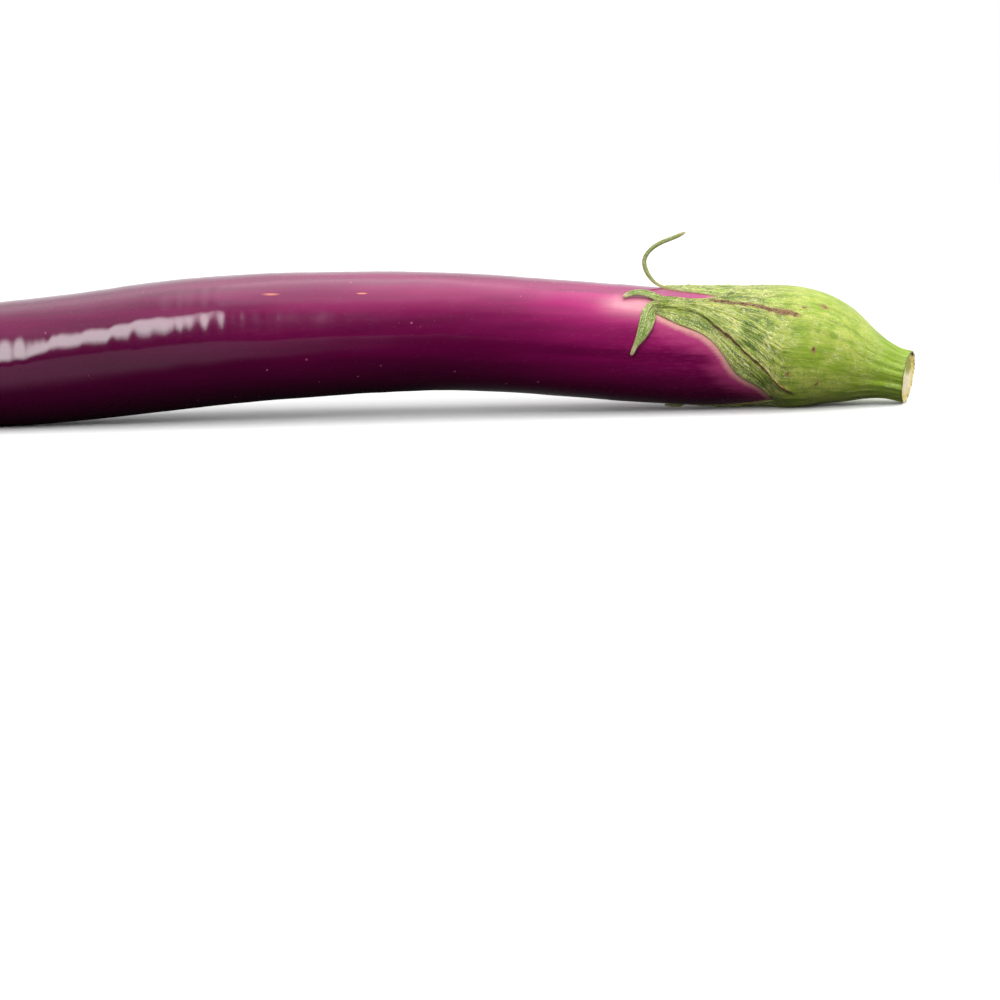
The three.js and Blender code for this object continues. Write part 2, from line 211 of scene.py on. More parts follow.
# Painted shade and painted reflection: the table's colour as the object sees it, unlike the white that the
# camera sees: dark close by, grey further ahead of the blossom half and pale behind the stem half.
FLOOR_DARK = (0.02, 0.02, 0.02)
FLOOR_GREY = (0.34, 0.30, 0.33)
FLOOR_PALE = (0.4, 0.38, 0.4)
WORLD_FRONT = 0.002
WORLD_BACK = 0.9
TOP_SUN = (12.0, 66.0, 2.7, 80.0)
FRONT_SUN = (-5.0, 20.0, 1.9, 60.0)
SIDE_SUN = (85.0, 20.0, 1.2, 50.0)
OVERHEAD_PLACE = (0.0, 0.02, 0.75)
OVERHEAD_AIM = (0.0, 0.02, 0.0)
OVERHEAD_SIZE = (2.6, 1.5)
OVERHEAD_WATTS = 6.0
GLINT_PLACE = (-0.07, 0.10, 0.72)
GLINT_AIM = (-0.07, 0.10, 0.0)
GLINT_SIZE = (0.42, 0.9)
GLINT_WATTS = 0.8
STRIP_PLACE = (-0.385, -0.81, 0.58)
STRIP_AIM = (-0.08, 0.0, 0.03)
STRIP_SIZE = (0.46, 0.8)
STRIP_WATTS = 5.5
SOFT_RINGS = [1.0, 0.9, 0.8, 0.7, 0.6]   # sizes of the boxes that make a soft-edged one
SOFT_RING_GAP = 0.01
VIEW_AZIMUTH = 4.0
VIEW_ELEVATION = 10.0
VIEW_ROLL = -2.0
VIEW_DISTANCE = 720.0
VIEW_TARGET = (33.87, 0.0, -26.77)

# ---- smooth curves and noise ----

def spline(places, values):
    """The natural cubic spline through values at rising places, as a function of place."""
    places = np.asarray(places, float)
    values = np.asarray(values, float)
    count = len(places)
    gaps = np.diff(places)
    slopes = np.diff(values, axis=0) / gaps.reshape((-1,) + (1,) * (values.ndim - 1))
    system = np.eye(count)
    right = np.zeros_like(values)
    for i in range(1, count - 1):
        system[i, i - 1:i + 2] = gaps[i - 1], 2 * (gaps[i - 1] + gaps[i]), gaps[i]
        right[i] = 6 * (slopes[i] - slopes[i - 1])
    bends = np.linalg.solve(system, right)

    def at(x):
        x = np.asarray(x, float)
        i = np.clip(np.searchsorted(places, x) - 1, 0, count - 2)
        shape = x.shape + (1,) * (values.ndim - 1)
        gap = gaps[i].reshape(shape)
        a = ((places[i + 1] - x) / gaps[i]).reshape(shape)
        b = 1 - a
        curve = ((a ** 3 - a) * bends[i] + (b ** 3 - b) * bends[i + 1]) * gap ** 2 / 6
        return a * values[i] + b * values[i + 1] + curve

    return at


def line_through(points, scale=1.0):
    """A smooth line through points, as a function of the share of its length."""
    points = np.asarray(points, float)
    steps = np.diff(points * scale, axis=0)
    length = np.concatenate([[0], np.cumsum(np.linalg.norm(steps, axis=1))])
    return spline(length / length[-1], points)


def perlin(points, seed):
    """Smooth random waves, about -1 to 1, at an (n, 3) array of points. A wave is 1 long."""
    random = np.random.default_rng(seed)
    order = random.permutation(256)
    slopes = random.normal(size=(256, 3))
    slopes /= np.linalg.norm(slopes, axis=1)[:, None]
    cell = np.floor(points).astype(int)
    inside = points - cell
    fade = inside ** 3 * (inside * (inside * 6 - 15) + 10)
    total = np.zeros(len(points))
    for corner in itertools.product((0, 1), repeat=3):
        spot = cell + corner
        pick = order[(order[(order[spot[:, 0] & 255] + spot[:, 1]) & 255] + spot[:, 2]) & 255]
        weight = np.prod(np.where(corner, fade, 1 - fade), axis=1)
        total += weight * np.sum(slopes[pick] * (inside - corner), axis=1)
    return total * 1.6


def smoothstep(low, high, value):
    share = np.clip((np.asarray(value, float) - low) / (high - low), 0, 1)
    return share * share * (3 - 2 * share)


def bell(value, width):
    return np.exp(-(value / width) ** 2)


def unit(vectors):
    return vectors / np.linalg.norm(vectors, axis=-1, keepdims=True)


# ---- the body: centre line, radius and surface ----

centre_yz = spline(CENTRE_LINE[:, 0], CENTRE_LINE[:, 1:])
body_radius = spline(BODY_RADIUS[:, 0], BODY_RADIUS[:, 1])
shoulder_radius = spline(SHOULDER_RADIUS[:, 0], SHOULDER_RADIUS[:, 1])


def centre(x):
    x = np.asarray(x, float)
    yz = centre_yz(x)
    return np.stack([x, yz[..., 0], yz[..., 1] - REST_SINK], axis=-1)


def section_axes(x):
    """Unit vectors square to the centre line at x: side faces -Y and up faces +Z."""
    along = unit(centre(x + 0.5) - centre(x - 0.5))
    side = unit(np.array([0.0, -1.0, 0.0]) + along * along[..., 1:2])
    return side, unit(np.cross(side, along))


def outward(x, degrees):
    angle = np.radians(degrees)[..., None]
    side, up = section_axes(x)
    return side * np.cos(angle) + up * np.sin(angle)


def body_point(x, degrees, radius):
    return centre(x) + outward(x, degrees) * np.asarray(radius)[..., None]


def smooth_fruit_radius(x):
    """A rounded blossom end, the open body, then the shoulder inside the calyx."""
    start = BLOSSOM_X + BLOSSOM_ROUND
    reach = np.clip((start - x) / BLOSSOM_ROUND, 0, 1)
    blossom = body_radius(x) * np.sqrt(1 - reach ** 2)
    shoulder = np.maximum(shoulder_radius(np.maximum(x, SHOULDER_START_X)), 0)
    return np.where(x < SHOULDER_START_X, blossom, shoulder)


def fruit_waves(x, degrees):
    """The low dents and ripples of the fruit's skin, in millimetres."""
    angle = np.radians(degrees)
    round_y = np.cos(angle) * 18
    round_z = np.sin(angle) * 18
    spots = np.stack([x, round_y, round_z], axis=-1).reshape(-1, 3)
    long_dents = perlin(spots / [38, 26, 26], 11) * 0.24
    dents = perlin(spots / [17, 15, 15], 12) * 0.10
    ripples = perlin(spots / [6.5, 7, 7], 13) * 0.06
    fine = perlin(spots / [2.8, 6, 6], 14) * 0.008
    waves = (long_dents + dents + ripples + fine).reshape(np.shape(x))
    ends = smoothstep(BLOSSOM_X, BLOSSOM_X + 25, x) * (1 - smoothstep(125, 138, x))
    return waves * ends


def ridge_height(x, degrees):
    """A blunt ridge along the front of the blossom half, between two flatter sides."""
    crest = np.interp(x, RIDGE_PATH[:, 0], RIDGE_PATH[:, 1])
    spots = np.stack([x / 5.0, np.zeros_like(x), np.full_like(x, 0.5)], axis=-1).reshape(-1, 3)
    wander = (perlin(spots, 15) + 0.5 * perlin(spots * 2.3, 16)).reshape(np.shape(x)) * RIDGE_WANDER
    aside = (((degrees + 180) % 360 - 180) - crest) * 0.33 + wander
    fade = smoothstep(BLOSSOM_X + 4, BLOSSOM_X + 40, x) * (1 - smoothstep(-48, -20, x))
    return RIDGE_HEIGHT * fade * np.exp(-np.hypot(aside, RIDGE_ROUND) / RIDGE_WIDTH)


def fruit_radius(x, degrees):
    return smooth_fruit_radius(x) + fruit_waves(x, degrees) + ridge_height(x, degrees)


def pressed(points):
    """Points pressed flat against the table."""
    points[..., 2] = np.maximum(points[..., 2], 0)
    return points


# ---- meshes from grids of points ----

class Sheet:
    """Collects grids of points with named values per point, and welds them into one mesh."""

    def __init__(self, names):
        self.points = []
        self.faces = []
        self.slots = []
        self.values = {name: [] for name in names}
        self.count = 0

    def grid(self, points, flip=False, slot=0, closed=False, **values):
        rows, columns = points.shape[:2]
        index = np.arange(rows * columns).reshape(rows, columns) + self.count
        if closed:
            index = np.concatenate([index, index[:, :1]], axis=1)
        quads = np.stack([index[:-1, :-1], index[:-1, 1:], index[1:, 1:], index[1:, :-1]], axis=-1)
        quads = quads.reshape(-1, 4)
        self.faces.append(quads[:, ::-1] if flip else quads)
        self.slots.append(np.full(len(quads), slot, np.int32))
        self.points.append(points.reshape(-1, 3))
        for name, parts in self.values.items():
            value = np.broadcast_to(values.get(name, 0.0), (rows, columns))
            parts.append(value.reshape(-1).astype(float))
        self.count += rows * columns

    def build(self, name, materials):
        mesh = bpy.data.meshes.new(name)
        points = pressed(np.concatenate(self.points)) * MM
        mesh.from_pydata(points.tolist(), [], np.concatenate(self.faces).tolist())
        for key, parts in self.values.items():
            layer = mesh.attributes.new(key, "FLOAT", "POINT")
            layer.data.foreach_set("value", np.concatenate(parts))
        for material in materials:
            mesh.materials.append(material)
        mesh.polygons.foreach_set("material_index", np.concatenate(self.slots))
        weld(mesh)
        mesh.polygons.foreach_set("use_smooth", np.ones(len(mesh.polygons), bool))
        mesh.set_sharp_from_angle(angle=math.radians(SHARP_DEGREES))
        mesh.update()
        piece = bpy.data.objects.new(name, mesh)
        bpy.context.scene.collection.objects.link(piece)
        return piece


def weld(mesh):
    """Merges points at one place, so that the grids become one closed skin."""
    edit = bmesh.new()
    edit.from_mesh(mesh)
    bmesh.ops.remove_doubles(edit, verts=edit.verts, dist=WELD_MM * MM)
    bmesh.ops.dissolve_degenerate(edit, edges=edit.edges, dist=WELD_MM * MM / 2)
    edit.to_mesh(mesh)
    edit.free()


def distance_to(points, targets):
    """The distance from each point to the nearest target."""
    flat = points.reshape(-1, 3)
    nearest = np.empty(len(flat))
    for start in range(0, len(flat), 4000):
        part = flat[start:start + 4000]
        square = (part ** 2).sum(1)[:, None] + (targets ** 2).sum(1)[None] - 2 * part @ targets.T
        nearest[start:start + 4000] = np.sqrt(np.maximum(square.min(axis=1), 0))
    return nearest.reshape(points.shape[:-1])


def spot_at(x, degrees, place, angle, length, width):
    """A small mark on the skin, 1 in its middle at (place, angle)."""
    across = (degrees - angle) * DEGREE_MM
    return bell((x - place) / length, 1.0) * bell(across / width, 1.0)


# ---- fruit ----

def fruit_grid():
    """Places of the fruit's surface points: rows along x, crowded at the ends, and angles."""
    share = np.linspace(0, np.pi, FRUIT_ROWS + 1)
    even = -np.cos(share)
    plain = 2 * share / np.pi - 1
    mix = 0.35 * even + 0.65 * plain
    x = (BLOSSOM_X + FRUIT_END_X) / 2 + (FRUIT_END_X - BLOSSOM_X) / 2 * mix
    degrees = np.linspace(0, 360, FRUIT_SIDES, endpoint=False)
    return np.meshgrid(x, degrees, indexing="ij")


def blossom_scar(x, degrees):
    """The dry spot at the blossom end, where the flower sat."""
    angle = np.radians(degrees)
    reach = smooth_fruit_radius(x)
    ragged = 2.6 + 0.5 * np.sin(3 * angle + 0.4) + 0.3 * np.sin(5 * angle)
    return np.where(x < 0, 1 - smoothstep(ragged - 0.8, ragged + 0.5, reach), 0)


def make_fruit(border, material):
    x, degrees = fruit_grid()
    scar = blossom_scar(x, degrees)
    radius = fruit_radius(x, degrees) - 0.3 * scar
    radius[0] = radius[-1] = 0
    points = body_point(x, degrees, radius)
    near = np.full(x.shape, FAR_FROM_CALYX)
    close = x[:, 0] > NEAR_CALYX_X
    near[close] = distance_to(points[close], border)
    scratch = sum(spot_at(x, degrees, *place) for place in SCRATCHES)
    # Painted shade: the skin's colour darkens by the height of its place round the body, most at the
    # bottom.
    height = np.sin(np.radians(degrees))
    shade = np.interp(height, PAINTED_SHADE[:, 0], PAINTED_SHADE[:, 1])
    pale = np.where(degrees < 60, 1.0, 1 - smoothstep(1, 9, np.abs(x - 104)))
    pale = np.where((degrees > 110) & (degrees < 350), 1.0, pale)
    blush = sum(spot_at(x, degrees, *spot) for spot in BLUSHES)
    sheet = Sheet(["near", "along", "scratch", "blossom", "shade", "pale", "blush"])
    sheet.grid(points, flip=True, closed=True, near=near, along=x, scratch=scratch, blossom=scar,
               shade=shade, pale=pale, blush=np.minimum(blush, 1))
    return sheet.build("eggplant_fruit", [material])


# ---- calyx ----

def border_line(ring_angle, shared, own):
    """One border of a lobe, a place for each row: to the notch, then on to the tip's root."""
    rows = np.arange(LOBE_ROWS + 1)
    if shared >= 1:
        return line_through(own, [1, DEGREE_MM])(rows / LOBE_ROWS)
    notch_row = round(shared * LOBE_ROWS)
    to_notch = (rows[:notch_row + 1] / notch_row)[:, None]
    start = np.array([RING_X, ring_angle], float)
    first = start + to_notch * (np.array(own[0], float) - start)
    rest = (rows[notch_row + 1:] - notch_row) / (LOBE_ROWS - notch_row)
    return np.concatenate([first, line_through(own, [1, DEGREE_MM])(rest)])


def lobe_borders(lobe):
    low = border_line(lobe["ring"][0], lobe["low_shared"], lobe["low"])
    high = border_line(lobe["ring"][1], lobe["high_shared"], lobe["high"])
    return low, high


def column_shares():
    """Columns across a lobe from 0 to 1, crowded at the borders and at the rib."""
    plain = np.linspace(0, 1, LOBE_COLUMNS + 1)
    return plain - CROWDING * np.sin(4 * np.pi * plain) / (4 * np.pi)


def lobe_places(lobe):
    """The (x, angle) places of a lobe and the distance of each across its rib."""
    low, high = lobe_borders(lobe)
    rib = line_through(lobe["rib"], [1, DEGREE_MM])(np.linspace(0, 1, LOBE_ROWS + 1))
    u = column_shares()[None, :, None]
    to_rib = low[:, None] + (rib - low)[:, None] * np.minimum(u * 2, 1)
    places = to_rib + (high - rib)[:, None] * np.maximum(u * 2 - 1, 0)
    reach = np.linalg.norm((places - rib[:, None]) * [1, DEGREE_MM], axis=-1)
    across = reach * np.sign(column_shares() - 0.5)
    return places, across


def ring_angles(lobe):
    low, high = lobe["ring"]
    rib = lobe["rib"][0][1]
    u = column_shares()
    return np.where(u < 0.5, low + (rib - low) * u * 2, rib + (high - rib) * (u * 2 - 1))


def free_rows(shared):
    return np.arange(LOBE_ROWS + 1) >= (round(shared * LOBE_ROWS) if shared < 1 else LOBE_ROWS + 1)


def free_border():
    """Points in millimetres along every free border of the calyx, close together."""
    lines = []
    for lobe in LOBES:
        for shared, rows in zip((lobe["low_shared"], lobe["high_shared"]), lobe_borders(lobe)):
            if shared < 1:
                free = rows[free_rows(shared)]
                fine = line_through(free, [1, DEGREE_MM])(np.linspace(0, 1, 3 * len(free)))
                lines.append(body_point(fine[:, 0], fine[:, 1], smooth_fruit_radius(fine[:, 0])))
    return np.concatenate(lines)


def furrows(ring_degrees, x):
    """Lengthwise furrows that deepen from the cup's neck to the cut end of the stem."""
    angle = np.radians(ring_degrees)
    waves = 0.5 * np.sin(9 * angle + 0.6) + 0.35 * np.sin(14 * angle + 2) + 0.3 * np.sin(23 * angle)
    return smoothstep(134, 156, x) * 0.34 * waves


def fibres(ring_degrees, along, seed, across_mm, along_mm):
    """Noise drawn out along the calyx's fibres."""
    angle = np.radians(ring_degrees)
    spots = np.stack([np.cos(angle) * 18 / across_mm, np.sin(angle) * 18 / across_mm,
                      along / along_mm], axis=-1)
    return perlin(spots.reshape(-1, 3), seed).reshape(along.shape)


def green_relief(ring_degrees, along, x):
    """Folds and fibres of the calyx and stem over their smooth radius, in millimetres."""
    lobes = 1 - smoothstep(108, 124, x)
    folds = fibres(ring_degrees, along, 21, 4.2, 26) * (0.16 + 0.2 * lobes)
    wrinkles = fibres(ring_degrees, along, 22, 1.5, 11) * (0.05 + 0.18 * lobes)
    threads = fibres(ring_degrees, along, 23, 0.75, 7) * (0.03 + 0.10 * lobes)
    knots = fibres(ring_degrees, along, 24, 1.3, 1.9) * (0.06 + 0.2 * lobes)
    return folds + wrinkles + threads + knots + furrows(ring_degrees, x)


def rib_relief(lobe, across, x, along):
    """The rib: a keel, or a step with a lip over a torn crevice. Returns height and tear."""
    u = column_shares()
    strength = (1 - smoothstep(117, 127, x)) * smoothstep(0, 0.25, np.minimum(u, 1 - u))
    line = across + 0.25 * np.sin(along * 0.55) + 0.15 * np.sin(along * 1.7 + 1)
    keel = lobe["keel"] * bell(line - 0.3, 0.8)
    step = lobe["step"] * smoothstep(-0.2, 0.15, line) * np.exp(-np.maximum(line, 0) / 5)
    lip = 0.5 * lobe["step"] * bell(line - 0.3, 0.28)
    crevice = 0.5 * lobe["step"] * bell(line + 0.28, 0.25)
    breaks = 0.85 + 0.15 * np.sin(along * 0.9 + 2) * np.sin(along * 0.37)
    torn = 1 - smoothstep(*lobe["torn"], along)
    width = lobe["ragged"] + 0.5 * bell(along, 4.0)
    tear = lobe["tear"] * torn * breaks * bell(line + 0.1, width)
    return (keel + step + lip - crevice) * strength, tear * (1 - smoothstep(121.5, 125.5, x))


def calyx_thickness(x, edge):
    """Thin and rounded at a free border, full a few millimetres in."""
    full = body_radius(x) - smooth_fruit_radius(x)
    rounded = np.sqrt(1 - (1 - np.clip(edge / EDGE_ROUND, 0, 1)) ** 2)
    return EDGE_THICKNESS * rounded + (full - EDGE_THICKNESS) * smoothstep(0, EDGE_REACH, edge)


def calyx_outer(x, degrees, ring, along, edge, extra):
    """Radius of the calyx's outer skin."""
    relief = (green_relief(ring, along, x) + extra) * smoothstep(0, 1.4, edge)
    lift = EDGE_LIFT * (1 - smoothstep(84, 96, x)) * smoothstep(0, 0.3, edge)
    return fruit_radius(x, degrees) + calyx_thickness(x, edge) + relief + lift


def looks(ring, along, x, **more):
    """The values that the calyx and stem materials read."""
    angle = np.radians(ring)
    marks = sum(spot_at(x, ring, *place) for place in CALYX_MARKS)
    return dict(side_a=18 * np.cos(angle), side_b=18 * np.sin(angle), along=along,
                lobe=1 - smoothstep(110, 127, x), stem=smoothstep(138, 150, x), mark=marks, **more)


def add_lobe(sheet, lobe, border):
    places, across = lobe_places(lobe)
    x, degrees = places[..., 0], places[..., 1]
    ring = np.broadcast_to(ring_angles(lobe), x.shape)
    on_fruit = body_point(x, degrees, smooth_fruit_radius(x))
    steps = np.linalg.norm(np.diff(on_fruit, axis=0), axis=-1)
    along = np.concatenate([np.zeros((1, x.shape[1])), np.cumsum(steps, axis=0)])
    edge = distance_to(on_fruit, border)
    free = np.zeros(x.shape, bool)
    free[free_rows(lobe["low_shared"]), 0] = True
    free[free_rows(lobe["high_shared"]), -1] = True
    edge[free] = 0
    relief, tear = rib_relief(lobe, across, x, along)
    outer = body_point(x, degrees, calyx_outer(x, degrees, ring, along, edge, relief))
    inner = body_point(x, degrees, fruit_radius(x, degrees) - np.where(free, 0, SUNK))
    outer[free] = inner[free]
    values = looks(ring, along, x, edge=edge, tear=tear)
    sheet.grid(outer, **values)
    sheet.grid(inner, flip=True, **values)
    add_tip(sheet, lobe, outer[-1], inner[-1], ring[-1], along[-1])


def shares_of(points):
    length = np.concatenate([[0], np.cumsum(np.linalg.norm(np.diff(points, axis=0), axis=1))])
    return length / length[-1], length[-1]


def add_tip(sheet, lobe, outer, inner, ring, along):
    """The free end of a lobe: its section runs on along a line of its own and narrows."""
    root = (outer + inner) / 2
    middle = LOBE_COLUMNS // 2
    places = np.array(lobe["tip"])
    beyond = body_point(places[:, 0], places[:, 1], smooth_fruit_radius(places[:, 0]) + places[:, 2])
    points = np.concatenate([root[middle:middle + 1], beyond])
    knots, length = shares_of(points)
    line = spline(knots, points)
    half_widths = np.concatenate([[np.linalg.norm(root[-1] - root[0]) / 2], places[:, 3]])
    normal = outward(*np.array(lobe["rib"][-1], float))
    frame_at_root = section_frame(line, 0.0, normal, root[-1] - root[0])
    local_outer = (outer - points[0]) @ frame_at_root.T
    local_inner = (inner - points[0]) @ frame_at_root.T
    across = 2 * column_shares() - 1
    rows_outer, rows_inner, edges = [outer], [inner], [np.zeros(len(across))]
    frame_now = frame_at_root
    for share in np.linspace(0, 1, TIP_ROWS + 1)[1:]:
        frame_now = section_frame(line, share, frame_now[1], frame_now[0])
        half = np.interp(share, knots, half_widths) if share < 1 else 0.0
        thick = min(lobe["thick"], TIP_SLENDER * half) / 2
        thick = thick * np.sqrt(np.maximum(1 - across ** 2, 0))
        curl = TIP_CURL * half * (across ** 2 - 0.3)
        new = smoothstep(0, TIP_BLEND, share)
        plain = np.stack([across * half, curl, np.zeros(len(across))], axis=-1)
        lift = thick[:, None] * np.array([0.0, 1.0, 0.0])
        rows_outer.append(line(share) + (local_outer * (1 - new) + (plain + lift) * new) @ frame_now)
        rows_inner.append(line(share) + (local_inner * (1 - new) + (plain - lift) * new) @ frame_now)
        edges.append(half * (1 - np.abs(across)))
    share = np.linspace(0, 1, TIP_ROWS + 1)[:, None]
    along_rows = along[None] + share * length
    ring_rows = np.broadcast_to(ring, along_rows.shape)
    dry = smoothstep(1 - lobe["dry"], 1 - 0.3 * lobe["dry"], share)
    values = looks(ring_rows, along_rows, np.full(along_rows.shape, 80.0), edge=np.array(edges),
                   dry=dry, tip=smoothstep(0, 0.3, share))
    sheet.grid(np.array(rows_outer), **values)
    sheet.grid(np.array(rows_inner), flip=True, **values)


def section_frame(line, share, normal, side):
    """Rows: across, normal and along, for a section of a tip, near the directions given."""
    along = unit(line(min(share + 0.01, 1.0)) - line(max(share - 0.01, 0.0)))
    normal = unit(normal - along * (normal @ along))
    across = np.cross(along, normal)
    if across @ side < 0:
        across = -across
    return np.stack([across, normal, along])


def cup_columns():
    """Ring angles of all the lobes' columns, round the cup."""
    return np.concatenate([ring_angles(lobe) for lobe in LOBES])


def rib_in_cup(lobe, x):
    """The angle of a lobe's rib where it runs on into the cup and fades."""
    (start_x, start), (next_x, after) = lobe["rib"][:2]
    slope = (start - after) / (start_x - next_x)
    return start + slope * RIB_RUN * (1 - np.exp(-(x - start_x) / RIB_RUN))


def add_cup(sheet, border):
    """The closed cup from the lobes to the stem, and the hollow inside it."""
    ring_row = cup_columns()
    x, ring = np.meshgrid(np.linspace(CUP_END_X, RING_X, CUP_ROWS + 1), ring_row, indexing="ij")
    along = RING_X - x
    edge = distance_to(body_point(x, ring, smooth_fruit_radius(x)), border)
    relief, tear = [], []
    for lobe in LOBES:
        part = slice(len(relief) * (LOBE_COLUMNS + 1), (len(relief) + 1) * (LOBE_COLUMNS + 1))
        across = (ring[:, part] - rib_in_cup(lobe, x[:, part])) * DEGREE_MM
        height, torn = rib_relief(lobe, across, x[:, part], along[:, part])
        relief.append(height)
        tear.append(torn)
    relief, tear = np.concatenate(relief, axis=1), np.concatenate(tear, axis=1)
    outer = body_point(x, ring, calyx_outer(x, ring, ring, along, edge, relief))
    values = looks(ring, along, x, edge=edge, tear=tear)
    sheet.grid(outer, **values)
    end = np.stack([outer[0], np.broadcast_to(centre(CUP_END_X), outer[0].shape)])
    sheet.grid(end, flip=True)
    x, ring = np.meshgrid(np.linspace(RING_X, FRUIT_END_X, HOLLOW_ROWS + 1), ring_row, indexing="ij")
    hollow_radius = fruit_radius(x, ring) - SUNK
    hollow_radius[-1] = 0
    sheet.grid(body_point(x, ring, np.maximum(hollow_radius, 0)))


def make_calyx(border, material):
    sheet = Sheet(["side_a", "side_b", "along", "lobe", "stem", "mark", "edge", "tear", "dry", "tip"])
    for lobe in LOBES:
        add_lobe(sheet, lobe, border)
    add_cup(sheet, border)
    return sheet.build("eggplant_calyx", [material])


# ---- stem ----

def cut_normal():
    turn, lean = math.radians(CUT_TURN), math.radians(CUT_LEAN)
    return unit(np.array([1.0, -math.tan(turn), -math.tan(lean)]))


def stem_radius(x, ring):
    flare = CUT_FLARE * smoothstep(STEM_END_X - 5, STEM_END_X, x)
    return body_radius(x) + green_relief(ring, RING_X - x, x) + flare


def cut_places(ring):
    """Where each column of the stem meets the plane of the cut."""
    x = np.full(ring.shape, STEM_END_X)
    normal = cut_normal()
    for _ in range(8):
        off = (body_point(x, ring, stem_radius(x, ring)) - centre(STEM_END_X)) @ normal
        x = x - off / normal[0]
    return x


def make_stem(material, cut_material):
    ring_row = cup_columns()
    share = np.linspace(0, 1, STEM_ROWS + 1)[:, None]
    x = CUP_END_X + share * (cut_places(ring_row) - CUP_END_X)
    ring = np.broadcast_to(ring_row, x.shape)
    points = body_point(x, ring, stem_radius(x, ring))
    values = looks(ring, RING_X - x, x, rim=smoothstep(0.93, 1, share))
    sheet = Sheet(["side_a", "side_b", "along", "lobe", "stem", "mark", "rim", "reach", "pit", "burn"])
    sheet.grid(points, flip=True, **values)
    start = np.stack([points[0], np.broadcast_to(centre(CUP_END_X), points[0].shape)])
    sheet.grid(start)
    add_cut(sheet, points[-1], ring_row)
    return sheet.build("eggplant_stem", [material, cut_material])


def add_cut(sheet, rim, ring):
    """The cut face: a torn rim, then the pith, with a shallow pit above its middle."""
    middle = centre(STEM_END_X)
    reach, ring = np.meshgrid(np.linspace(1, 0, CUT_ROWS + 1), ring, indexing="ij")
    flat = middle + reach[..., None] * (rim[None] - middle)
    angle = np.radians(ring)
    beside = np.stack([reach * np.cos(angle), reach * np.sin(angle)], axis=-1) - CUT_PIT
    pit = bell(np.linalg.norm(beside / [0.75, 0.42], axis=-1), 1.0)
    lumps = perlin((flat / [1.5, 1.1, 1.1]).reshape(-1, 3), 31).reshape(reach.shape)
    fine = perlin((flat / 0.45).reshape(-1, 3), 32).reshape(reach.shape)
    inside = smoothstep(0, 0.12, 1 - reach)
    depth = inside * (0.25 + 0.7 * pit + 0.22 * lumps + 0.08 * fine)
    points = flat - depth[..., None] * cut_normal()
    burn = bell((ring - 100) / 26, 1.0) + bell((ring + 30) / 7, 1.0) + 0.5 * bell((ring + 66) / 12, 1.0)
    sheet.grid(points, flip=True, slot=1, reach=reach, pit=pit, burn=burn, rim=1.0)


# ---- materials ----

class Shader:
    """A material's node tree, written as expressions."""

    def __init__(self, name):
        self.material = bpy.data.materials.new(name)
        self.material.use_nodes = True
        self.tree = self.material.node_tree
        self.surface = self.tree.nodes["Principled BSDF"]

    def node(self, kind, inputs, **settings):
        node = self.tree.nodes.new(kind)
        for key, value in settings.items():
            setattr(node, key, value)
        for key, value in inputs.items():
            self.put(node.inputs[key], value)
        return node

    def put(self, socket, value):
        if isinstance(value, bpy.types.NodeSocket):
            self.tree.links.new(value, socket)
        elif isinstance(value, tuple) and socket.type == "RGBA":
            socket.default_value = (*value, 1.0)
        else:
            socket.default_value = value

    def set(self, **values):
        for key, value in values.items():
            self.put(self.surface.inputs[key.replace("_", " ")], value)

    def value(self, name):
        return self.node("ShaderNodeAttribute", {}, attribute_name=name).outputs["Fac"]

    def math(self, operation, *terms):
        inputs = dict(enumerate(terms))
        return self.node("ShaderNodeMath", inputs, operation=operation).outputs[0]

    def times(self, a, b):
        return self.math("MULTIPLY", a, b)

    def plus(self, a, b):
        return self.math("ADD", a, b)

    def step(self, value, low, high, start=0.0, end=1.0):
        """start where value is low, end where it is high, smooth between."""
        inputs = {"Value": value, "From Min": low, "From Max": high, "To Min": start, "To Max": end}
        return self.node("ShaderNodeMapRange", inputs, interpolation_type="SMOOTHSTEP").outputs[0]

    def mix(self, share, a, b):
        node = self.node("ShaderNodeMix", {0: share}, data_type="RGBA")
        self.put(node.inputs[6], a)
        self.put(node.inputs[7], b)
        return node.outputs[2]

    def on_lobes(self, lobe, more, everywhere):
        """A strength that is everywhere on the green parts and more on the lobes."""
        return self.plus(self.times(lobe, more), everywhere)

    def place(self, x, y, z):
        return self.node("ShaderNodeCombineXYZ", {0: x, 1: y, 2: z}).outputs[0]

    def stretched(self, vector, scale):
        return self.node("ShaderNodeVectorMath", {0: vector, 1: scale}, operation="MULTIPLY").outputs[0]

    def turned(self, vector, degrees):
        turn = (math.radians(degrees), 0.0, 0.0)
        return self.node("ShaderNodeMapping", {"Vector": vector, "Rotation": turn}).outputs[0]

    def millimetres(self):
        place = self.node("ShaderNodeTexCoord", {}).outputs["Object"]
        return self.stretched(place, (1000.0, 1000.0, 1000.0))

    def noise(self, vector, scale, detail=2.0, roughness=0.5):
        inputs = {"Vector": self.stretched(vector, scale), "Scale": 1.0, "Detail": detail,
                  "Roughness": roughness}
        return self.node("ShaderNodeTexNoise", inputs).outputs[0]

    def bump(self, height, strength, distance_mm):
        inputs = {"Height": height, "Strength": strength, "Distance": distance_mm * MM}
        return self.node("ShaderNodeBump", inputs).outputs[0]


